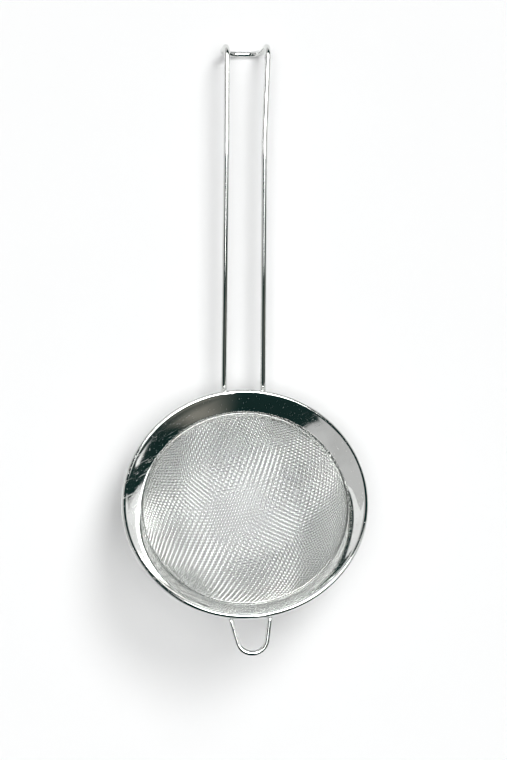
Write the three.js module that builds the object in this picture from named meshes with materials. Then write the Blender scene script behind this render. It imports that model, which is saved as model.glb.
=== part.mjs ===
// Tea strainer: a bowl of woven steel wire held in a flared steel rim, with a handle bent from one
// wire that ends in a hook, and a small wire loop opposite it that rests on the edge of a cup.
//
// Millimetres, +Z up. The strainer lies on a table, z = 0, on the bottom of its bowl and the tip of
// its hook. +Y runs along the handle towards the hook. The origin is on the table, under the middle
// of the strainer.

import * as THREE from 'three';

// Driving dimensions

const AROUND = 48;             // flat sides round every turned piece
const GAP = 0.3;               // left between pieces that are crimped or welded together

const RIM_TILT = THREE.MathUtils.degToRad(25);   // of the rim's plane, down towards the handle

const BEAD_RADIUS = 0.95;      // of the rolled edge's section
const BEAD_CENTRE = 39.05;     // from the rim's axis, so the rim is 80 across
const SHEET = 0.5;             // thickness of the rim's steel
const FLARE_FOOT = { radius: 33.6, height: -3.65 };     // where the flare's upper side starts
const COLLAR_BOTTOM = -7.5;
const COLLAR_TAPER = 0.25;     // radius lost per millimetre of the collar's depth

const RING_TOP = { radius: 32.95, height: -3.75 };      // of the clamp ring's inner face
const RING_BOTTOM = { radius: 32.7, height: -5.6 };
const RING_THICKNESS = 0.25;

const CLOTH = 0.6;             // thickness of the woven cloth, two wires
const CLOTH_EDGE = { radius: 33.8, height: -4.5 };      // middle of the cloth where the ring pinches it
const CLOTH_ANGLE = THREE.MathUtils.degToRad(78);       // of the bowl's cap, from its lowest point

const HANDLE_WIRE = 2.0;       // diameters
const LOOP_WIRE = 1.8;
const BEND_STEP = THREE.MathUtils.degToRad(15);         // turn of a bend between two sections

const HANDLE = {
  rootRadius: 35.6,            // where the rods end under the flare, measured in the rim
  rootHeight: -4.2,
  left: -7.1,                  // the rods' places across the handle, at the rim
  right: 5.9,
  waistAt: 118,                // the rods come closest here, and open again towards the hook
  waistLeft: -6.1,
  waistRight: 6.4,
  hookAt: 149.9,
  hookLeft: -5.9,
  hookRight: 7.7,
  hookHeight: 14.8,
  waistBend: 60,
  hookBend: 3.5,
};

const HOOK_FOOT = { left: -8.2, right: 5.1, at: 148.4, bend: 5 };   // the hook's tip on the table

const REST_LOOP = {
  rootRadius: 36.1,
  rootHeight: -3.9,
  kneeRadius: 39.6,            // where the legs leave the flare and level out
  kneeHeight: -2.2,
  left: -4.4,
  right: 8.0,
  tipX: 4.4,                   // where the legs would cross, before the bend
  tipY: -65.9,
  kneeBend: 2,
  tipBend: 4.8,
  rootSpread: 1,               // how much farther apart the legs' ends are than their knees, each side
};

// Turned pieces, in the rim's own frame: the rim's plane is z = 0 and its axis is Z

const polished = new THREE.MeshStandardMaterial({ color: 0xcfd2d0, roughness: 0.1, metalness: 1 });
const cloth = new THREE.MeshStandardMaterial({ color: 0xc4c6c3, roughness: 0.35, metalness: 1 });
const drawn = new THREE.MeshStandardMaterial({ color: 0xc8cac8, roughness: 0.2, metalness: 1 });

function turned(name, profile, material) {
  const points = profile.map(([radius, height]) => new THREE.Vector2(radius, height));
  const geometry = new THREE.LatheGeometry(points, AROUND, Math.PI / AROUND);
  geometry.rotateX(Math.PI / 2);
  const mesh = new THREE.Mesh(geometry, material);
  mesh.name = name;
  return mesh;
}

// Middle of the bowl's sphere, and a point of the cloth at an angle from the sphere's lowest point
const bowlRadius = CLOTH_EDGE.radius / Math.sin(CLOTH_ANGLE);
const bowlCentre = CLOTH_EDGE.height + bowlRadius * Math.cos(CLOTH_ANGLE);

function onBowl(angle, radius) {
  return [radius * Math.sin(angle), bowlCentre - radius * Math.cos(angle)];
}

// One band of facets faces straight down when the rim is tilted, so that the bowl stands on a flat
const facetAngle = Math.atan(Math.tan(RIM_TILT) * Math.cos(Math.PI / AROUND));
const ringStep = facetAngle / 3.5;

function meshBowl() {
  const angles = [];
  for (let angle = 0; angle < CLOTH_ANGLE - ringStep / 2; angle += ringStep) {
    angles.push(angle);
  }
  angles.push(CLOTH_ANGLE);
  const outside = angles.map((angle) => onBowl(angle, bowlRadius + CLOTH / 2));
  const inside = angles.map((angle) => onBowl(angle, bowlRadius - CLOTH / 2));
  return turned('mesh_bowl', [...outside, ...inside.reverse()], cloth);
}

// The flare runs straight up from its foot and rolls over into the bead. The sheet's lower side ends
// inside the bead, which is solid here.
function rimBand() {
  const footToBead = new THREE.Vector2(BEAD_CENTRE - FLARE_FOOT.radius, -FLARE_FOOT.height);
  const slope = footToBead.angle() + Math.asin(BEAD_RADIUS / footToBead.length());
  const beadStart = slope + Math.PI / 2;
  const beadEnd = beadStart + Math.acos((BEAD_RADIUS - SHEET) / BEAD_RADIUS) - 2 * Math.PI;

  const bead = [];
  const beadSteps = 12;
  for (let i = 0; i <= beadSteps; i += 1) {
    const angle = beadStart + (beadEnd - beadStart) * i / beadSteps;
    bead.push([BEAD_CENTRE + BEAD_RADIUS * Math.cos(angle), BEAD_RADIUS * Math.sin(angle)]);
  }

  const collarInside = CLOTH_EDGE.radius + CLOTH / 2 + GAP;
  const collarOutside = collarInside + SHEET;
  const collarTop = FLARE_FOOT.height + (collarOutside - FLARE_FOOT.radius) * Math.tan(slope)
    - SHEET / Math.cos(slope);
  const narrowing = COLLAR_TAPER * (CLOTH_EDGE.height - COLLAR_BOTTOM);
  return turned('rim_band', [
    [FLARE_FOOT.radius, FLARE_FOOT.height - SHEET],
    [FLARE_FOOT.radius, FLARE_FOOT.height],
    ...bead,
    [collarOutside, collarTop],
    [collarOutside - narrowing, COLLAR_BOTTOM],
    [collarInside - narrowing, COLLAR_BOTTOM],
    [collarInside, CLOTH_EDGE.height],
    [collarInside - GAP, FLARE_FOOT.height - SHEET],
    [FLARE_FOOT.radius, FLARE_FOOT.height - SHEET],
  ].reverse(), polished);
}

function clampRing() {
  return turned('clamp_ring', [
    [RING_TOP.radius, RING_TOP.height],
    [RING_BOTTOM.radius, RING_BOTTOM.height],
    [RING_BOTTOM.radius + RING_THICKNESS, RING_BOTTOM.height],
    [RING_TOP.radius + RING_THICKNESS, RING_TOP.height],
    [RING_TOP.radius, RING_TOP.height],
  ], polished);
}

// Height of the rim's middle above the table, with the bowl's level facet on the table
const facetEdge = new THREE.Vector2(...onBowl(facetAngle + ringStep / 2, bowlRadius + CLOTH / 2));
const rimHeight = facetEdge.x * Math.cos(Math.PI / AROUND) * Math.sin(RIM_TILT)
  - facetEdge.y * Math.cos(RIM_TILT);

// A point given by its place across the rim, its distance from the rim's axis and its height in the
// rim's frame. side is 1 for the handle's side and -1 for the loop's.
function inRim(x, radius, height, side) {
  const along = side * Math.sqrt(radius * radius - x * x);
  const point = new THREE.Vector3(x, along, height);
  point.applyAxisAngle(new THREE.Vector3(1, 0, 0), -RIM_TILT);
  point.z += rimHeight;
  return point;
}

// Bent wires

// A wire's centre line: straight runs joined by round bends. Each corner is a point and the radius of
// its bend; the first and the last are the wire's ends.
class BentWire extends THREE.Curve {
  constructor(corners) {
    super();
    this.stations = [];
    this.tangents = [];
    corners.forEach((corner, i) => {
      const before = i > 0 ? corner.point.clone().sub(corners[i - 1].point).normalize() : null;
      const after = i < corners.length - 1
        ? corners[i + 1].point.clone().sub(corner.point).normalize() : null;
      if (before && after) {
        this.addBend(corner, before, after);
      } else {
        this.stations.push(corner.point);
        this.tangents.push(before ?? after);
      }
    });
  }

  addBend({ point, bend }, before, after) {
    const turn = before.angleTo(after);
    const inward = after.clone().addScaledVector(before, -Math.cos(turn)).normalize();
    const start = point.clone().addScaledVector(before, -bend * Math.tan(turn / 2));
    const centre = start.clone().addScaledVector(inward, bend);
    const steps = Math.ceil(turn / BEND_STEP);
    for (let i = 0; i <= steps; i += 1) {
      const angle = turn * i / steps;
      this.stations.push(centre.clone()
        .addScaledVector(inward, -bend * Math.cos(angle))
        .addScaledVector(before, bend * Math.sin(angle)));
      this.tangents.push(before.clone().multiplyScalar(Math.cos(angle))
        .addScaledVector(inward, Math.sin(angle)));
    }
  }

  get steps() {
    return this.stations.length - 1;
  }

  getPoint(t, target = new THREE.Vector3()) {
    const place = t * this.steps;
    const index = Math.min(Math.floor(place), this.steps - 1);
    return target.lerpVectors(this.stations[index], this.stations[index + 1], place - index);
  }

  // Sections stand at the stations, not at even distances
  getUtoTmapping(u) {
    return u;
  }

  // Sections are level in the middle of the wire and turn no more than the wire does from there
  computeFrenetFrames() {
    const middle = Math.floor(this.tangents.length / 2);
    const normals = new Array(this.tangents.length);
    const square = (vector, tangent) => vector.clone()
      .addScaledVector(tangent, -vector.dot(tangent)).normalize();
    normals[middle] = square(new THREE.Vector3(0, 0, 1), this.tangents[middle]);
    for (let i = middle + 1; i < normals.length; i += 1) {
      normals[i] = square(normals[i - 1], this.tangents[i]);
    }
    for (let i = middle - 1; i >= 0; i -= 1) {
      normals[i] = square(normals[i + 1], this.tangents[i]);
    }
    const binormals = normals.map((normal, i) => this.tangents[i].clone().cross(normal));
    return { tangents: this.tangents, normals, binormals };
  }
}

const SIDES = 12;

// Distance from a section's middle to its flats, for corners that lie on the wire's surface
function flatDistance(diameter) {
  return diameter / 2 * Math.cos(Math.PI / SIDES);
}

function wire(name, diameter, corners) {
  const section = new THREE.Shape();
  for (let i = 0; i < SIDES; i += 1) {
    const angle = (i + 0.5) * 2 * Math.PI / SIDES;
    const x = diameter / 2 * Math.cos(angle);
    const y = diameter / 2 * Math.sin(angle);
    if (i === 0) {
      section.moveTo(x, y);
    } else {
      section.lineTo(x, y);
    }
  }
  const path = new BentWire(corners);
  const geometry = new THREE.ExtrudeGeometry(section, { steps: path.steps, extrudePath: path });
  const mesh = new THREE.Mesh(geometry, drawn);
  mesh.name = name;
  return mesh;
}

function handleWire() {
  const footHeight = flatDistance(HANDLE_WIRE);
  const rootLeft = inRim(HANDLE.left, HANDLE.rootRadius, HANDLE.rootHeight, 1);
  const rootRight = inRim(HANDLE.right, HANDLE.rootRadius, HANDLE.rootHeight, 1);
  const along = (HANDLE.waistAt - rootLeft.y) / (HANDLE.hookAt - rootLeft.y);
  const waistHeight = THREE.MathUtils.lerp(rootLeft.z, HANDLE.hookHeight, along);
  return wire('handle_wire', HANDLE_WIRE, [
    { point: rootLeft },
    { point: new THREE.Vector3(HANDLE.waistLeft, HANDLE.waistAt, waistHeight), bend: HANDLE.waistBend },
    { point: new THREE.Vector3(HANDLE.hookLeft, HANDLE.hookAt, HANDLE.hookHeight), bend: HANDLE.hookBend },
    { point: new THREE.Vector3(HOOK_FOOT.left, HOOK_FOOT.at, footHeight), bend: HOOK_FOOT.bend },
    { point: new THREE.Vector3(HOOK_FOOT.right, HOOK_FOOT.at, footHeight), bend: HOOK_FOOT.bend },
    { point: new THREE.Vector3(HANDLE.hookRight, HANDLE.hookAt, HANDLE.hookHeight), bend: HANDLE.hookBend },
    { point: new THREE.Vector3(HANDLE.waistRight, HANDLE.waistAt, waistHeight), bend: HANDLE.waistBend },
    { point: rootRight },
  ]);
}

function restLoop() {
  const { left, right, rootSpread } = REST_LOOP;
  const root = (x) => inRim(x, REST_LOOP.rootRadius, REST_LOOP.rootHeight, -1);
  const knee = (x) => inRim(x, REST_LOOP.kneeRadius, REST_LOOP.kneeHeight, -1);
  const tip = new THREE.Vector3(REST_LOOP.tipX, REST_LOOP.tipY, knee(left).z);
  return wire('rest_loop', LOOP_WIRE, [
    { point: root(left - rootSpread) },
    { point: knee(left), bend: REST_LOOP.kneeBend },
    { point: tip, bend: REST_LOOP.tipBend },
    { point: knee(right), bend: REST_LOOP.kneeBend },
    { point: root(right + rootSpread) },
  ]);
}

// Assembly

const head = new THREE.Group();
head.add(rimBand(), clampRing(), meshBowl());
head.rotation.x = -RIM_TILT;
head.position.z = rimHeight;

const strainer = new THREE.Group();
strainer.add(head, handleWire(), restLoop());

const box = new THREE.Box3().setFromObject(strainer, true);
const middle = box.getCenter(new THREE.Vector3());
strainer.position.set(-middle.x, -middle.y, 0);

export default strainer;
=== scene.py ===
"""Tea strainer: the looks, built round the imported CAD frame.

Metres, +Z up, +Y along the handle towards its hook. The strainer lies on the floor, z = 0, and the
camera looks straight down on it. Turned pieces and the woven bowl are worked out in the rim's own
frame, where the rim's plane is z = 0, and are then tilted and raised into place.
"""

import math
from collections import namedtuple

import bpy
import numpy as np
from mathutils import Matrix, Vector, noise


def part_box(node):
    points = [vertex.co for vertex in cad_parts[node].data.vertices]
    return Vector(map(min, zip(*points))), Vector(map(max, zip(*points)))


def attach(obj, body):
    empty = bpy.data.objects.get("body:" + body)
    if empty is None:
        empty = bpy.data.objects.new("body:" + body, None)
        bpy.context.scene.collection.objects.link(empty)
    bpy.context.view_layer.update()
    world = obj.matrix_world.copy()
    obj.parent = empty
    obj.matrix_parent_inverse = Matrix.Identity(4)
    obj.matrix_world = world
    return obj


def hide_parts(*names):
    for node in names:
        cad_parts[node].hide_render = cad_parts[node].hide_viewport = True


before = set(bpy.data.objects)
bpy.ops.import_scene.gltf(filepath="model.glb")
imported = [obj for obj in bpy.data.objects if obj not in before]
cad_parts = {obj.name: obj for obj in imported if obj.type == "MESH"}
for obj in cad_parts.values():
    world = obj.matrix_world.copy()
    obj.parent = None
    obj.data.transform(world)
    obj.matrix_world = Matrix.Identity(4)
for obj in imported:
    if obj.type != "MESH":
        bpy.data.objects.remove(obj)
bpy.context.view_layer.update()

# Driving dimensions, as in the CAD model

RIM_TILT = math.radians(25)
BEAD_RADIUS = 0.00095
SHEET = 0.0005
FLARE_FOOT_RADIUS = 0.0336
FLARE_FOOT_HEIGHT = -0.00365
COLLAR_TOP = -0.0045
COLLAR_BOTTOM = -0.0075
COLLAR_RADIUS = 0.0344
COLLAR_TAPER = 0.25

RING_TOP = (0.03295, -0.00375)
RING_BOTTOM = (0.0327, -0.0056)
RING_THICKNESS = 0.00025

BOWL_ANGLE = math.radians(78)    # of the cloth's cap, from its lowest point
BOWL_CENTRE_HEIGHT = 0.002684    # of the bowl's sphere, above the rim's plane

HANDLE_WIRE = 0.002
LOOP_WIRE = 0.0018

# Two crossing wires are 0.68 mm, a little more than the CAD model's 0.6 mm cloth

CLOTH_WIRE = 0.00034

# Places that come from the frame

band_low, band_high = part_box("rim_band")

BEAD_CENTRE = (band_high.x - band_low.x) / 2 - BEAD_RADIUS
RIM_CENTRE = Vector((
    (band_low.x + band_high.x) / 2,
    (band_low.y + band_high.y) / 2,
    band_high.z - BEAD_RADIUS - BEAD_CENTRE * math.sin(RIM_TILT),
))
BOWL_TOUCHES_FLOOR = RIM_CENTRE.z + BOWL_CENTRE_HEIGHT * math.cos(RIM_TILT)    # radius outside
BOWL_RADIUS = BOWL_TOUCHES_FLOOR - CLOTH_WIRE                                  # of the cloth's middle


def to_world(points):
    """Points of the rim's frame, as an array, put where the rim stands."""
    cos, sin = math.cos(RIM_TILT), math.sin(RIM_TILT)
    x, y, z = points[..., 0], points[..., 1], points[..., 2]
    turned = np.stack([x, y * cos + z * sin, z * cos - y * sin], axis=-1)
    return turned + np.array(RIM_CENTRE)


def in_rim(x, radius, height, side):
    """A point by its place across the rim, its distance from the rim's axis and its height.
    side is 1 for the handle's side and -1 for the loop's."""
    along = side * math.sqrt(radius * radius - x * x)
    return Vector(to_world(np.array([x, along, height])))


# Camera, straight above

CAMERA_FROM_RIM = Vector((0.0028, 0.0393, 0.7987))
LENS = 117.3


def make_camera():
    data = bpy.data.cameras.new("camera")
    data.lens = LENS
    data.sensor_width = 36
    data.clip_start = 0.01
    data.clip_end = 40
    camera = bpy.data.objects.new("camera", data)
    camera.location = RIM_CENTRE + CAMERA_FROM_RIM
    bpy.context.scene.collection.objects.link(camera)
    bpy.context.scene.camera = camera


make_camera()


# Materials

class Nodes:
    """A material's node tree, with short names for making and joining its nodes."""

    def __init__(self, name):
        self.material = bpy.data.materials.new(name)
        self.material.use_nodes = True
        self.tree = self.material.node_tree
        self.shader = self.tree.nodes["Principled BSDF"]

    def add(self, kind, **settings):
        node = self.tree.nodes.new("ShaderNode" + kind)
        for key, value in settings.items():
            setattr(node, key, value)
        return node

    def join(self, output, socket):
        self.tree.links.new(output, socket)

    def attribute(self, name):
        return self.add("Attribute", attribute_name=name).outputs["Vector"]

    def place(self):
        return self.add("TexCoord").outputs["Object"]

    def stretched(self, vector, scale):
        node = self.add("Mapping")
        node.inputs["Scale"].default_value = scale
        self.join(vector, node.inputs["Vector"])
        return node.outputs["Vector"]

    def turned_by(self, vector, angle):
        node = self.add("Mapping")
        node.inputs["Rotation"].default_value = (0, 0, -angle)
        self.join(vector, node.inputs["Vector"])
        return node.outputs["Vector"]

    def noise(self, vector, scale, detail=4.0, roughness=0.5):
        node = self.add("TexNoise")
        node.inputs["Scale"].default_value = scale
        node.inputs["Detail"].default_value = detail
        node.inputs["Roughness"].default_value = roughness
        self.join(vector, node.inputs["Vector"])
        return node.outputs["Fac"]

    def ramp(self, value, low, high, out_low, out_high):
        node = self.add("MapRange", interpolation_type="SMOOTHSTEP")
        limits = {"From Min": low, "From Max": high, "To Min": out_low, "To Max": out_high}
        for key, number in limits.items():
            node.inputs[key].default_value = number
        self.join(value, node.inputs["Value"])
        return node.outputs["Result"]

    def maths(self, operation, first, second):
        node = self.add("Math", operation=operation)
        for socket, value in zip(node.inputs, (first, second)):
            if isinstance(value, (int, float)):
                socket.default_value = value
            else:
                self.join(value, socket)
        return node.outputs["Value"]

    def colour_mix(self, factor, first, second):
        node = self.add("Mix", data_type="RGBA")
        self.join(factor, node.inputs[0])
        node.inputs[6].default_value = (*first, 1)
        node.inputs[7].default_value = (*second, 1)
        return node.outputs[2]

    def bump(self, height, strength, distance, after=None):
        node = self.add("Bump")
        node.inputs["Strength"].default_value = strength
        node.inputs["Distance"].default_value = distance
        self.join(height, node.inputs["Height"])
        if after is not None:
            self.join(after, node.inputs["Normal"])
        return node.outputs["Normal"]


STEEL = (0.78, 0.79, 0.775)
STEEL_DULL = (0.70, 0.71, 0.695)
SCRATCH_ANGLE = math.radians(28)


def polished_steel(name):
    """Mirror-bright sheet: broad patches where the polish is softer, hairlines round the rim, a few
    fine specks, and short scratches that run one way."""
    m = Nodes(name)
    place = m.place()
    patches = m.ramp(m.noise(place, 55, 3), 0.42, 0.62, 0, 1)
    m.join(m.colour_mix(patches, STEEL, STEEL_DULL), m.shader.inputs["Base Color"])
    m.shader.inputs["Metallic"].default_value = 1
    hairlines = m.noise(m.stretched(m.attribute("turned"), (60, 60, 9000)), 1, 3, 0.6)
    specks = m.ramp(m.noise(place, 1500, 2), 0.66, 0.74, 0, 1)
    scratches = m.noise(m.stretched(m.turned_by(place, SCRATCH_ANGLE), (150, 3500, 150)), 1, 3, 0.6)
    worn = m.ramp(m.noise(place, 38, 2), 0.50, 0.66, 0, 1)
    scratched = m.maths("MULTIPLY", m.ramp(scratches, 0.55, 0.70, 0, 1), worn)
    rough = m.maths("ADD", m.ramp(patches, 0, 1, 0.02, 0.06), m.maths("MULTIPLY", hairlines, 0.03))
    rough = m.maths("ADD", rough, m.maths("MULTIPLY", specks, 0.35))
    m.join(m.maths("ADD", rough, m.maths("MULTIPLY", scratched, 0.25)), m.shader.inputs["Roughness"])
    fine = m.bump(hairlines, 0.08, 0.00001)
    marked = m.bump(scratched, 0.25, 0.00001, after=fine)
    m.join(m.bump(specks, 0.4, 0.00002, after=marked), m.shader.inputs["Normal"])
    return m.material


def drawn_wire(name):
    """Bright drawn wire: marks along its length and slow changes of polish."""
    m = Nodes(name)
    drawn = m.attribute("drawn")
    slow = m.noise(m.stretched(drawn, (0.6, 0.6, 90)), 1, 3)
    marks = m.noise(m.stretched(drawn, (9, 9, 120)), 1, 4, 0.6)
    m.join(m.colour_mix(slow, STEEL, STEEL_DULL), m.shader.inputs["Base Color"])
    m.shader.inputs["Metallic"].default_value = 1
    m.join(m.maths("ADD", m.ramp(slow, 0.3, 0.7, 0.03, 0.06), m.maths("MULTIPLY", marks, 0.05)),
           m.shader.inputs["Roughness"])
    m.join(m.bump(marks, 0.12, 0.00001), m.shader.inputs["Normal"])
    return m.material


def cloth_wire(name):
    """The bowl's fine wire: a little duller, with each wire a shade apart from the next."""
    m = Nodes(name)
    tone = m.add("Attribute", attribute_name="tone").outputs["Fac"]
    grain = m.noise(m.place(), 3000, 3)
    m.join(m.colour_mix(tone, STEEL, STEEL_DULL), m.shader.inputs["Base Color"])
    m.shader.inputs["Metallic"].default_value = 1
    m.join(m.maths("ADD", m.ramp(tone, 0, 1, 0.09, 0.12), m.maths("MULTIPLY", grain, 0.06)),
           m.shader.inputs["Roughness"])
    m.join(m.bump(grain, 0.2, 0.00001), m.shader.inputs["Normal"])
    return m.material


def weld_metal(name):
    """Resistance-weld nuggets: rough, heat-dulled steel."""
    m = Nodes(name)
    place = m.place()
    grain = m.noise(place, 2500, 5, 0.6)
    m.join(m.colour_mix(grain, (0.62, 0.61, 0.58), STEEL), m.shader.inputs["Base Color"])
    m.shader.inputs["Metallic"].default_value = 1
    m.join(m.ramp(grain, 0.3, 0.7, 0.22, 0.42), m.shader.inputs["Roughness"])
    m.join(m.bump(grain, 0.6, 0.0001), m.shader.inputs["Normal"])
    return m.material


# Meshes

def make_piece(name, points, loops, face_sizes, material, attributes=None):
    """A smooth mesh from arrays: points, the faces' corners one after another, and each face's size."""
    mesh = bpy.data.meshes.new(name)
    mesh.vertices.add(len(points))
    mesh.vertices.foreach_set("co", np.asarray(points, np.float32).ravel())
    mesh.loops.add(len(loops))
    mesh.loops.foreach_set("vertex_index", np.asarray(loops, np.int32))
    mesh.polygons.add(len(face_sizes))
    starts = np.concatenate([[0], np.cumsum(face_sizes)[:-1]])
    mesh.polygons.foreach_set("loop_start", starts.astype(np.int32))
    mesh.polygons.foreach_set("loop_total", np.asarray(face_sizes, np.int32))
    mesh.polygons.foreach_set("use_smooth", np.ones(len(face_sizes), bool))
    mesh.update(calc_edges=True)
    for key, values in (attributes or {}).items():
        values = np.asarray(values, np.float32)
        if values.ndim == 2:
            layer = mesh.attributes.new(key, "FLOAT_VECTOR", "POINT")
            layer.data.foreach_set("vector", values.ravel())
        else:
            layer = mesh.attributes.new(key, "FLOAT", "POINT")
            layer.data.foreach_set("value", values)
    mesh.materials.append(material)
    piece = bpy.data.objects.new(name, mesh)
    bpy.context.scene.collection.objects.link(piece)
    return piece


def round_tube(centres, normal, side, radius, turn):
    """Points round centre lines: a row for each centre, and a column for each angle of turn."""
    ring = normal[:, None] * np.cos(turn)[:, None] + side[:, None] * np.sin(turn)[:, None]
    return centres[:, None] + ring * radius


def tube_faces(sides, first, last):
    """The corners and sizes of tubes' faces. first and last mark the rows where tubes start and end;
    each row joins the next but for the last ones, and both ends are capped."""
    here = np.arange(len(first) * sides).reshape(-1, sides)
    beside = np.roll(here, -1, axis=1)
    quads = np.stack([here, beside, beside + sides, here + sides], axis=-1)[~last]
    caps = np.concatenate([here[first][:, ::-1], here[last]])
    loops = np.concatenate([quads.ravel(), caps.ravel()])
    sizes = np.concatenate([np.full(quads.size // 4, 4), np.full(len(caps), sides)])
    return loops, sizes


def round_corner(before, corner, after, radius, step):
    """Points of the round bend that takes a corner's place, with at most step radians between two."""
    back = (before - corner).normalized()
    onward = (after - corner).normalized()
    turn = math.pi - back.angle(onward)
    inward = (onward - back * onward.dot(back)).normalized()
    start = corner + back * radius * math.tan(turn / 2)
    centre = start + inward * radius
    count = max(2, math.ceil(turn / step))
    angles = [turn * i / count for i in range(count + 1)]
    return [centre - inward * radius * math.cos(a) - back * radius * math.sin(a) for a in angles]


def arc(centre, radius, start, end, count):
    """Points of an arc in the profile's plane: x is the radius, z the height."""
    x, z = centre
    angles = [start + (end - start) * i / count for i in range(count + 1)]
    return [Vector((x + radius * math.cos(a), 0, z + radius * math.sin(a))) for a in angles]


def rounded_outline(corners, step=math.radians(15)):
    """A closed outline from (radius, height, rounding) corners."""
    points = [Vector((radius, 0, height)) for radius, height, _ in corners]
    outline = []
    for i, (_, _, rounding) in enumerate(corners):
        before, after = points[i - 1], points[(i + 1) % len(points)]
        outline += round_corner(before, points[i], after, rounding, step)
    return outline


AROUND = 360


def turned_piece(name, outline, material, bulge=None):
    """A closed outline turned round the rim's axis. bulge gives the heights to add, from the points'
    radii and angles."""
    profile = np.array(outline)[:, [0, 2]]
    lengths = np.concatenate([[0], np.cumsum(np.linalg.norm(np.diff(profile, axis=0), axis=1))])
    angle = (np.arange(AROUND) + 0.5) * 2 * math.pi / AROUND
    radius, height = profile[:, 0][:, None], profile[:, 1][:, None]
    x = radius * np.cos(angle)[None]
    y = radius * np.sin(angle)[None]
    z = np.broadcast_to(height, x.shape) if bulge is None else height + bulge(radius, angle[None])
    points = to_world(np.stack([x, y, z], axis=-1)).reshape(-1, 3)
    turned = np.stack([
        np.broadcast_to(np.cos(angle)[None], x.shape),
        np.broadcast_to(np.sin(angle)[None], x.shape),
        np.broadcast_to(lengths[:, None], x.shape),
    ], axis=-1).reshape(-1, 3)
    row = np.arange(len(profile))[:, None] * AROUND
    next_row = np.roll(row, -1, axis=0)
    column = np.arange(AROUND)[None]
    next_column = np.roll(column, -1, axis=1)
    corners = [row + column, row + next_column, next_row + next_column, next_row + column]
    loops = np.stack(corners, axis=-1).ravel()
    return make_piece(name, points, loops, np.full(len(loops) // 4, 4), material, {"turned": turned})


FLARE_STEPS = 12
FLARE_BULGE = 0.00016
CURL_GAP = math.radians(14)    # between the rolled edge's end and the flare
OUTER_STEPS, INNER_STEPS = 60, 40


def flare_bulge(radius, angle):
    """The flare is not a true cone: it curves over towards the bead, and by not quite the same
    amount all the way round."""
    width = BEAD_CENTRE - BEAD_RADIUS - FLARE_FOOT_RADIUS
    share = np.clip((radius - FLARE_FOOT_RADIUS) / width, 0, 1)
    uneven = 0.12 * np.sin(3 * angle + 0.7) + 0.10 * np.sin(7 * angle + 2.1)
    uneven = uneven + 0.06 * np.sin(12 * angle)
    return FLARE_BULGE * np.sin(math.pi * share) * (1 + uneven)


def rim_band(material):
    """The rim's sheet: flare, rolled bead with its open curl, and the collar that grips the bowl."""
    foot_to_bead = Vector((BEAD_CENTRE - FLARE_FOOT_RADIUS, -FLARE_FOOT_HEIGHT))
    slope = math.atan2(foot_to_bead.y, foot_to_bead.x) + math.asin(BEAD_RADIUS / foot_to_bead.length)
    bead_start = slope + math.pi / 2
    closing = math.acos((BEAD_RADIUS - SHEET) / BEAD_RADIUS)
    bead_end = bead_start + closing - 2 * math.pi + CURL_GAP
    outer = arc((BEAD_CENTRE, 0), BEAD_RADIUS, bead_start, bead_end, OUTER_STEPS)
    inner = arc((BEAD_CENTRE, 0), BEAD_RADIUS - SHEET, bead_end, bead_start, INNER_STEPS)
    collar_outside = COLLAR_RADIUS + SHEET
    collar_top = (FLARE_FOOT_HEIGHT + (collar_outside - FLARE_FOOT_RADIUS) * math.tan(slope)
                  - SHEET / math.cos(slope))
    narrowing = COLLAR_TAPER * (COLLAR_TOP - COLLAR_BOTTOM)
    foot = rounded_outline([
        (collar_outside, collar_top, 0.0003),
        (collar_outside - narrowing, COLLAR_BOTTOM, 0.0002),
        (COLLAR_RADIUS - narrowing, COLLAR_BOTTOM, 0.0002),
        (COLLAR_RADIUS, COLLAR_TOP, 0.0002),
        (COLLAR_RADIUS - 0.0003, FLARE_FOOT_HEIGHT - SHEET, 0.0001),
        (FLARE_FOOT_RADIUS, FLARE_FOOT_HEIGHT - SHEET, 0.0002),
        (FLARE_FOOT_RADIUS, FLARE_FOOT_HEIGHT, 0.0002),
        (outer[0].x, outer[0].z, 0.00001),
    ])
    foot = [p for p in foot if p.x < collar_outside + SHEET]    # the last corner only gives a direction
    top_side = [foot[-1].lerp(outer[0], i / FLARE_STEPS) for i in range(1, FLARE_STEPS)]
    under_side = [inner[-1].lerp(foot[0], i / FLARE_STEPS) for i in range(1, FLARE_STEPS)]
    outline = foot + top_side + outer + inner + under_side
    return turned_piece("rim_band_sheet", outline[::-1], material, flare_bulge)


RING_ROUNDING = 0.00008


def clamp_ring(material):
    """The thin ring that pinches the cloth from inside."""
    (top_radius, top_height), (bottom_radius, bottom_height) = RING_TOP, RING_BOTTOM
    outline = rounded_outline([
        (top_radius, top_height, RING_ROUNDING),
        (bottom_radius, bottom_height, RING_ROUNDING),
        (bottom_radius + RING_THICKNESS, bottom_height, RING_ROUNDING),
        (top_radius + RING_THICKNESS, top_height, RING_ROUNDING),
    ])
    return turned_piece("clamp_ring_strip", outline, material)


# The woven bowl

# The cloth's meshes are a little askew. Both steps are x and y in the cloth laid flat.

LATTICE_ALONG = (0.000953, 0.000178)     # from one crossing to the next along a warp wire
LATTICE_ACROSS = (-0.000468, 0.000998)   # and along a weft wire
STATIONS = 4                             # sections of a wire from one crossing to the next
CLOTH_SIDES = 6
TONES = 400                              # more than there are wires one way
TINY = 1e-9                              # metres, taken as no distance


def bowl_points(plan, offset):
    """Points of the cloth's flat plan laid on the bowl's sphere, offset outward from its middle."""
    distance = np.linalg.norm(plan, axis=-1)
    angle = distance / BOWL_RADIUS
    spread = np.where(distance > TINY, np.sin(angle) / np.maximum(distance, TINY), 1 / BOWL_RADIUS)
    outward = np.stack([plan[..., 0] * spread, plan[..., 1] * spread, -np.cos(angle)], axis=-1)
    middle = np.array([0, 0, BOWL_CENTRE_HEIGHT])
    return middle + outward * (BOWL_RADIUS + offset)[..., None], outward


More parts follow.
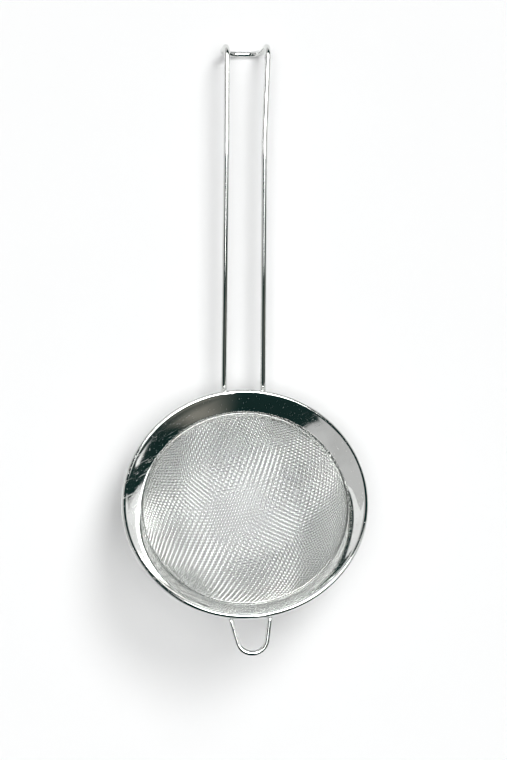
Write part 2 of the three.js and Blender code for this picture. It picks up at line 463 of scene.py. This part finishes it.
def cloth_wires(own, other, first_side, keep):
    """Centre lines of the wires that run along own. Each is a run of stations; keep picks wires by
    their number. Returns points, outward directions, wire numbers and which stations end a wire."""
    own, other = np.array(own), np.array(other)
    reach = BOWL_RADIUS * BOWL_ANGLE
    plans, rises, numbers, lasts = [], [], [], []
    spacing = abs(own[0] * other[1] - own[1] * other[0]) / np.linalg.norm(own)
    count = int(reach / spacing)
    for number in range(-count, count + 1):
        if not keep(number):
            continue
        base = other * number
        a, b, c = own @ own, own @ base, base @ base - reach * reach
        root = b * b - a * c
        if root <= 0:
            continue
        low = math.ceil((-b - math.sqrt(root)) / a * STATIONS)
        high = math.floor((-b + math.sqrt(root)) / a * STATIONS)
        if high - low < 2 * STATIONS:
            continue
        place = np.arange(low, high + 1) / STATIONS
        rise = first_side * CLOTH_WIRE / 2 * np.cos(math.pi * (place + number))
        plans.append(base[None] + own[None] * place[:, None])
        rises.append(rise)
        numbers.append(np.full(len(place), number))
        last = np.zeros(len(place), bool)
        last[-1] = True
        lasts.append(last)
    points, outward = bowl_points(np.concatenate(plans), np.concatenate(rises))
    return points, outward, np.concatenate(numbers), np.concatenate(lasts)


def cloth_piece(name, own, other, first_side, keep, material):
    """One mesh of the wires that keep picks, each a tube of its own."""
    points, outward, numbers, last = cloth_wires(own, other, first_side, keep)
    first = np.roll(last, 1)
    ahead = np.where(last[:, None], points, np.roll(points, -1, axis=0))
    behind = np.where(first[:, None], points, np.roll(points, 1, axis=0))
    tangent = ahead - behind
    tangent /= np.linalg.norm(tangent, axis=1)[:, None]
    normal = outward - tangent * np.sum(outward * tangent, axis=1)[:, None]
    normal /= np.linalg.norm(normal, axis=1)[:, None]
    side = np.cross(tangent, normal)
    turn = (np.arange(CLOTH_SIDES) + 0.5) * 2 * math.pi / CLOTH_SIDES
    tube = round_tube(points, normal, side, CLOTH_WIRE / 2, turn)
    loops, sizes = tube_faces(CLOTH_SIDES, first, last)
    tone = np.random.default_rng(3).random(TONES)[numbers + TONES // 2]
    world = to_world(tube).reshape(-1, 3)
    return make_piece(name, world, loops, sizes, material, {"tone": np.repeat(tone, CLOTH_SIDES)})


# Bent wires

WIRE_SIDES = 24
END_ROUNDING = 0.35    # of a wire's radius, at its cut ends


def wire_path(corners, step=math.radians(5)):
    """A wire's centre line from (point, bend radius) corners; the first and last are its ends."""
    points = [corners[0][0]]
    for i in range(1, len(corners) - 1):
        corner, bend = corners[i]
        points += round_corner(corners[i - 1][0], corner, corners[i + 1][0], bend, step)
    return points + [corners[-1][0]]


def carried_normals(tangent):
    """Normals along a wire. The middle one points up, and each next one turns as little as it can."""
    normals = np.zeros_like(tangent)
    middle = len(tangent) // 2
    up = np.array([0.0, 0.0, 1.0])
    normals[middle] = up - tangent[middle] * (up @ tangent[middle])
    for order, step in ((range(middle + 1, len(tangent)), -1), (range(middle - 1, -1, -1), 1)):
        for i in order:
            carried = normals[i + step]
            normals[i] = carried - tangent[i] * (carried @ tangent[i])
            normals[i] /= np.linalg.norm(normals[i])
    normals[middle] /= np.linalg.norm(normals[middle])
    return normals


def swept_wire(name, path, diameter, material):
    """A round wire along a path, with softly rounded ends."""
    points = np.array(path)
    tangent = np.gradient(points, axis=0)
    tangent[0], tangent[-1] = points[1] - points[0], points[-1] - points[-2]
    tangent /= np.linalg.norm(tangent, axis=1)[:, None]
    normals = carried_normals(tangent)
    radius = diameter / 2
    rounding = radius * END_ROUNDING
    end_angles = [math.radians(a) for a in (0, 20, 40, 60, 80)]
    inset = [rounding * (1 - math.sin(a)) for a in end_angles]
    shrunk = [radius - rounding + rounding * math.cos(math.pi / 2 - a) for a in end_angles]
    count = len(end_angles)
    keeps = [0] * count + list(range(1, len(points) - 1)) + [len(points) - 1] * count
    centres, scales = points[keeps], np.full(len(keeps), radius)
    for i in range(count):
        centres[i] += tangent[0] * (rounding - inset[i])
        centres[-1 - i] -= tangent[-1] * (rounding - inset[i])
        scales[i] = scales[-1 - i] = shrunk[i]
    normal, along = normals[keeps], tangent[keeps]
    side = np.cross(along, normal)
    turn = np.arange(WIRE_SIDES) * 2 * math.pi / WIRE_SIDES
    tube = round_tube(centres, normal, side, scales[:, None, None], turn)
    run = np.concatenate([[0], np.cumsum(np.linalg.norm(np.diff(centres, axis=0), axis=1))])
    drawn = np.stack([
        np.broadcast_to(np.cos(turn)[None], tube.shape[:2]),
        np.broadcast_to(np.sin(turn)[None], tube.shape[:2]),
        np.broadcast_to(run[:, None], tube.shape[:2]),
    ], axis=-1)
    row = np.arange(len(centres))
    loops, sizes = tube_faces(WIRE_SIDES, row == 0, row == row[-1])
    attributes = {"drawn": drawn.reshape(-1, 3)}
    return make_piece(name, tube.reshape(-1, 3), loops, sizes, material, attributes)


# Places across a wire are x. Places along it are measured from the rim's centre, towards the hook. The
# hook's corner and the loop's tip lie a little inside the CAD model's, whose coarser bends cut them.

HANDLE_ROOT = (0.0356, -0.0042)          # radius and height in the rim's frame
HANDLE_LEFT, HANDLE_RIGHT = -0.0071, 0.0059
WAIST_LEFT, WAIST_RIGHT, WAIST_AT, WAIST_BEND = -0.0061, 0.0064, 0.118, 0.060
HOOK_LEFT, HOOK_RIGHT, HOOK_AT, HOOK_BEND = -0.0059, 0.0077, 0.14983, 0.0035
HOOK_HEIGHT = 0.0148
FOOT_LEFT, FOOT_RIGHT, FOOT_AT, FOOT_BEND = -0.0082, 0.0051, 0.1484, 0.005


def handle_wire(material):
    """One wire: up from the rim on the left, over the hook, across the table and back on the right."""
    root_left = in_rim(HANDLE_LEFT, *HANDLE_ROOT, 1)
    root_right = in_rim(HANDLE_RIGHT, *HANDLE_ROOT, 1)
    waist_y, hook_y, foot_y = (at + RIM_CENTRE.y for at in (WAIST_AT, HOOK_AT, FOOT_AT))
    share = (waist_y - root_left.y) / (hook_y - root_left.y)
    waist_height = root_left.z + (HOOK_HEIGHT - root_left.z) * share
    path = wire_path([
        (root_left, 0),
        (Vector((WAIST_LEFT, waist_y, waist_height)), WAIST_BEND),
        (Vector((HOOK_LEFT, hook_y, HOOK_HEIGHT)), HOOK_BEND),
        (Vector((FOOT_LEFT, foot_y, HANDLE_WIRE / 2)), FOOT_BEND),
        (Vector((FOOT_RIGHT, foot_y, HANDLE_WIRE / 2)), FOOT_BEND),
        (Vector((HOOK_RIGHT, hook_y, HOOK_HEIGHT)), HOOK_BEND),
        (Vector((WAIST_RIGHT, waist_y, waist_height)), WAIST_BEND),
        (root_right, 0),
    ])
    return swept_wire("handle_rod", path, HANDLE_WIRE, material)


LOOP_ROOT = (0.0361, -0.0039)            # radius and height in the rim's frame
LOOP_KNEE = (0.0396, -0.0022)            # where the legs leave the flare and level out
LOOP_LEFT, LOOP_RIGHT = -0.0044, 0.0080
LOOP_SPREAD = 0.001                      # how far each leg's end is outside its knee
TIP_X, TIP_AT = 0.0044, -0.06574         # where the legs would cross, before the bend
KNEE_BEND, TIP_BEND = 0.002, 0.0048


def rest_loop(material):
    """The small loop opposite the handle, which rests on a cup's edge."""
    knee_left = in_rim(LOOP_LEFT, *LOOP_KNEE, -1)
    knee_right = in_rim(LOOP_RIGHT, *LOOP_KNEE, -1)
    path = wire_path([
        (in_rim(LOOP_LEFT - LOOP_SPREAD, *LOOP_ROOT, -1), 0),
        (knee_left, KNEE_BEND),
        (Vector((TIP_X, TIP_AT + RIM_CENTRE.y, knee_left.z)), TIP_BEND),
        (knee_right, KNEE_BEND),
        (in_rim(LOOP_RIGHT + LOOP_SPREAD, *LOOP_ROOT, -1), 0),
    ])
    return swept_wire("rest_loop_rod", path, LOOP_WIRE, material)


WELD_ROWS, WELD_COLUMNS = 14, 24
WELD_LUMPS = 0.16                        # how far a lump stands out, as a share of the radius
WELD_SIZE = (0.0015, 0.00125, 0.0010)    # half sizes: along the wire, across it and in height
WELD_INNER = (0.0366, -0.0030)           # radius and height of the weld's two ends
WELD_OUTER = (0.0386, -0.0012)
WELD_LOOP_LEFT, WELD_LOOP_RIGHT = -0.0047, 0.0083
WELD_GRAIN = 2.2                         # lumps to a weld


def weld(name, start, along, half_sizes, seed, material):
    """A weld nugget: a lumpy drop of metal where a wire lies against the sheet."""
    along = along.normalized()
    side = along.cross(Vector((0, 0, 1))).normalized()
    up = side.cross(along)

    def lumpy(polar, turn):
        wide = math.sin(polar)
        unit = Vector((math.cos(polar), wide * math.cos(turn), wide * math.sin(turn)))
        lump = 1 + WELD_LUMPS * noise.noise(unit * WELD_GRAIN + Vector((seed, 0, 0)))
        a, b, c = (lump * u * h for u, h in zip(unit, half_sizes))
        return start + along * a + side * b + up * c

    polars = [math.pi * i / WELD_ROWS for i in range(1, WELD_ROWS)]
    turns = [2 * math.pi * j / WELD_COLUMNS for j in range(WELD_COLUMNS)]
    points = [lumpy(polar, turn) for polar in polars for turn in turns]
    points += [lumpy(0, 0), lumpy(math.pi, 0)]
    here = np.arange((WELD_ROWS - 1) * WELD_COLUMNS).reshape(-1, WELD_COLUMNS)
    beside = np.roll(here, -1, axis=1)
    quads = np.stack([here[:-1], beside[:-1], beside[1:], here[1:]], axis=-1).reshape(-1, 4)
    near, far = np.full(WELD_COLUMNS, here.size), np.full(WELD_COLUMNS, here.size + 1)
    ends = np.concatenate([
        np.stack([near, beside[0], here[0]], axis=-1),
        np.stack([far, here[-1], beside[-1]], axis=-1),
    ])
    loops = np.concatenate([quads.ravel(), ends.ravel()])
    sizes = np.concatenate([np.full(len(quads), 4), np.full(len(ends), 3)])
    return make_piece(name, points, loops, sizes, material)


def fit(piece, node):
    """The piece rides on the only body and stands for a CAD node."""
    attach(piece, "root")
    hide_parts(node)


sheet_steel = polished_steel("polished_sheet")
ring_steel = polished_steel("polished_ring")
rod_steel = drawn_wire("drawn_rod")
loop_steel = drawn_wire("drawn_loop")
cloth_steel = cloth_wire("cloth_wire")

fit(rim_band(sheet_steel), "rim_band")
fit(clamp_ring(ring_steel), "clamp_ring")
fit(handle_wire(rod_steel), "handle_wire")
fit(rest_loop(loop_steel), "rest_loop")

weld_steel = weld_metal("weld_metal")
for name, x, side, node, slot in (
    ("weld_handle_left", HANDLE_LEFT, 1, "handle_wire", "handle_wire"),
    ("weld_handle_right", HANDLE_RIGHT, 1, "handle_wire", "handle_wire"),
    ("weld_loop_left", WELD_LOOP_LEFT, -1, "rest_loop", "loop_wire"),
    ("weld_loop_right", WELD_LOOP_RIGHT, -1, "rest_loop", "loop_wire"),
):
    inner, outer = in_rim(x, *WELD_INNER, side), in_rim(x, *WELD_OUTER, side)
    fit(weld(name, (inner + outer) / 2, outer - inner, WELD_SIZE, 10 * x, weld_steel), node)

warp = (LATTICE_ALONG, LATTICE_ACROSS, 1)
weft = (LATTICE_ACROSS, LATTICE_ALONG, -1)
for part, keep in (("lower", lambda number: number < 0), ("upper", lambda number: number >= 0)):
    fit(cloth_piece("warp_wires_" + part, *warp, keep, cloth_steel), "mesh_bowl")
    fit(cloth_piece("weft_wires_" + part, *weft, keep, cloth_steel), "mesh_bowl")


# The studio: floor, backdrop and lamps, and the glowing room that the steel mirrors in their stead

FLOOR_HALF = 12.0
BACKDROP_HALF = 4.0        # within reach of every view's camera
ROOM_HEIGHT = 3.0          # of the mirrored ceiling above the rim
ROOM_HALF = 3 * ROOM_HEIGHT
ABOVE_FLOOR = 0.001        # where the mirrored walls start
STRIP_HEIGHT = 0.15 * ROOM_HEIGHT    # of the right wall's pale strip, above the rim
SKY = 0.12
KEY = dict(direction=(0.38, 0.55, 1), spread=22, strength=1.36)
OVERHEAD = dict(direction=(0.07, 0, 1), spread=40, strength=1.93)
BLACK = (0.010, 0.028, 0.026)
BROWN = (0.26, 0.25, 0.22)
SOFT_BOX = (1.4, 1.4, 1.4)
KEY_BOX = (12.0, 12.0, 12.0)
PALE = (0.62, 0.62, 0.62)
BACKDROP = (0.97, 0.97, 0.97)
FLOOR_COLOURS = ((0.895, 0.9, 0.9), (0.905, 0.91, 0.91))


def floor_material():
    m = Nodes("pale_floor")
    grain = m.noise(m.place(), 40, 3)
    m.join(m.colour_mix(grain, *FLOOR_COLOURS), m.shader.inputs["Base Color"])
    m.shader.inputs["Roughness"].default_value = 1
    m.shader.inputs["Specular IOR Level"].default_value = 0
    return m.material


def flat_sheet(name, corners, material):
    """A four-cornered sheet of the studio, which is no part of the strainer."""
    mesh = bpy.data.meshes.new(name)
    mesh.from_pydata(corners, [], [(0, 1, 2, 3)])
    mesh.materials.append(material)
    sheet = bpy.data.objects.new(name, mesh)
    bpy.context.scene.collection.objects.link(sheet)
    return sheet


Patch = namedtuple("Patch", "x y half_x half_y turn fading light")


def patch_cover(m, patch):
    """How far a soft-edged rectangle on the ceiling covers a place, from 0 to 1. The patch's place
    and half sizes are in room heights, and fading is the share of the half that its edge takes."""
    mapping = m.add("Mapping", vector_type="TEXTURE")
    x, y, half_x, half_y = (number * ROOM_HEIGHT for number in patch[:4])
    mapping.inputs["Location"].default_value = (x, y, 0)
    mapping.inputs["Rotation"].default_value = (0, 0, math.radians(patch.turn))
    mapping.inputs["Scale"].default_value = (half_x, half_y, 1)
    m.join(m.place(), mapping.inputs["Vector"])
    apart = m.add("SeparateXYZ")
    m.join(mapping.outputs["Vector"], apart.inputs[0])
    across, along = (m.maths("ABSOLUTE", apart.outputs[i], 0) for i in (0, 1))
    return m.ramp(m.maths("MAXIMUM", across, along), 1 - patch.fading, 1, 1, 0)


def light_material(name, base, patches=()):
    """A surface that glows in one colour, with soft-edged patches of other light laid over it."""
    m = Nodes(name)
    m.tree.nodes.remove(m.shader)
    emission = m.add("Emission")
    emission.inputs["Color"].default_value = (*base, 1)
    m.join(emission.outputs["Emission"], m.tree.nodes["Material Output"].inputs["Surface"])
    below = None
    for patch in patches:
        mix = m.add("Mix", data_type="RGBA")
        m.join(patch_cover(m, patch), mix.inputs[0])
        mix.inputs[6].default_value = (*base, 1)
        mix.inputs[7].default_value = (*patch.light, 1)
        if below is not None:
            m.join(below, mix.inputs[6])
        below = mix.outputs[2]
        m.join(below, emission.inputs["Color"])
    return m.material


def level_square(half, height):
    """The corners of a level square round the origin."""
    return [(x * half, y * half, height) for x, y in ((-1, -1), (1, -1), (1, 1), (-1, 1))]


WALLS = {"left": ((-1, -1), (-1, 1)), "right": ((1, -1), (1, 1)),
         "front": ((-1, -1), (1, -1)), "back": ((-1, 1), (1, 1))}


def wall_corners(half, side, low, high):
    """The corners of one wall of a square room round the origin."""
    start, end = ((x * half, y * half) for x, y in WALLS[side])
    return [(*start, low), (*end, low), (*end, high), (*start, high)]


def mirrored_only(sheet):
    """Keep a sheet of light out of everything but reflections."""
    sheet.visible_camera = False
    sheet.visible_diffuse = False
    sheet.visible_shadow = False


def seen_only(sheet):
    """Keep a sheet of light out of everything but the camera's view."""
    sheet.visible_diffuse = False
    sheet.visible_glossy = False
    sheet.visible_shadow = False


def make_floor():
    flat_sheet("floor", level_square(FLOOR_HALF, 0), floor_material())


def make_backdrop():
    """Pale walls and a roof round the strainer, for the views that look out past the floor."""
    white = light_material("backdrop_light", BACKDROP)
    half = BACKDROP_HALF
    seen_only(flat_sheet("backdrop_roof", level_square(half, half), white))
    for side in WALLS:
        seen_only(flat_sheet("backdrop_" + side, wall_corners(half, side, 0, half), white))


def distant_light(name, direction, spread, strength):
    """Even light from a disk of the sky, spread degrees across. Metal mirrors the room in its stead."""
    data = bpy.data.lights.new(name, "SUN")
    data.angle = math.radians(spread)
    data.energy = strength
    lamp = bpy.data.objects.new(name, data)
    lamp.rotation_euler = Vector(direction).to_track_quat("Z", "Y").to_euler()
    lamp.visible_glossy = False
    bpy.context.scene.collection.objects.link(lamp)


def make_lights():
    scene = bpy.context.scene
    scene.view_settings.view_transform = "Standard"
    world = bpy.data.worlds.new("studio")
    scene.world = world
    world.use_nodes = True
    world.node_tree.nodes["Background"].inputs["Color"].default_value = (SKY, SKY, SKY, 1)
    distant_light("key", **KEY)
    distant_light("overhead", **OVERHEAD)


def make_ceiling(height):
    """The ceiling that the steel mirrors: dark, with the key light and its narrow spill above the
    camera, a broad soft box to the right, a dim edge below that and a pale opening to the left."""
    patches = [
        Patch(x=0.80, y=-0.72, half_x=0.75, half_y=0.42, turn=10, fading=0.90, light=BROWN),
        Patch(x=-2.36, y=1.10, half_x=1.80, half_y=3.50, turn=-25, fading=0.06, light=PALE),
        Patch(x=1.91, y=0.49, half_x=1.35, half_y=0.45, turn=20, fading=0.30, light=SOFT_BOX),
        Patch(x=0.13, y=-0.10, half_x=0.05, half_y=0.30, turn=0, fading=0.40, light=KEY_BOX),
        Patch(x=0.17, y=0.38, half_x=0.38, half_y=0.33, turn=0, fading=0.12, light=KEY_BOX),
    ]
    material = light_material("ceiling_light", BLACK, patches)
    mirrored_only(flat_sheet("ceiling", level_square(ROOM_HALF, height), material))


def make_mirrored_room():
    """The room that the steel mirrors. Its front wall is dark, and so is the right one above a low
    pale strip; the left and the back are pale."""
    top = RIM_CENTRE.z + ROOM_HEIGHT
    strip = RIM_CENTRE.z + STRIP_HEIGHT
    pale, dark = light_material("pale_light", PALE), light_material("dark_light", BLACK)
    make_ceiling(top)
    for name, side, low, high, material in (
        ("left_wall", "left", ABOVE_FLOOR, top, pale),
        ("back_wall", "back", ABOVE_FLOOR, top, pale),
        ("front_wall", "front", ABOVE_FLOOR, top, dark),
        ("right_wall_low", "right", ABOVE_FLOOR, strip, pale),
        ("right_wall_high", "right", strip, top, dark),
    ):
        mirrored_only(flat_sheet(name, wall_corners(ROOM_HALF, side, low, high), material))


make_floor()
make_backdrop()
make_lights()
make_mirrored_room()

bpy.context.view_layer.update()
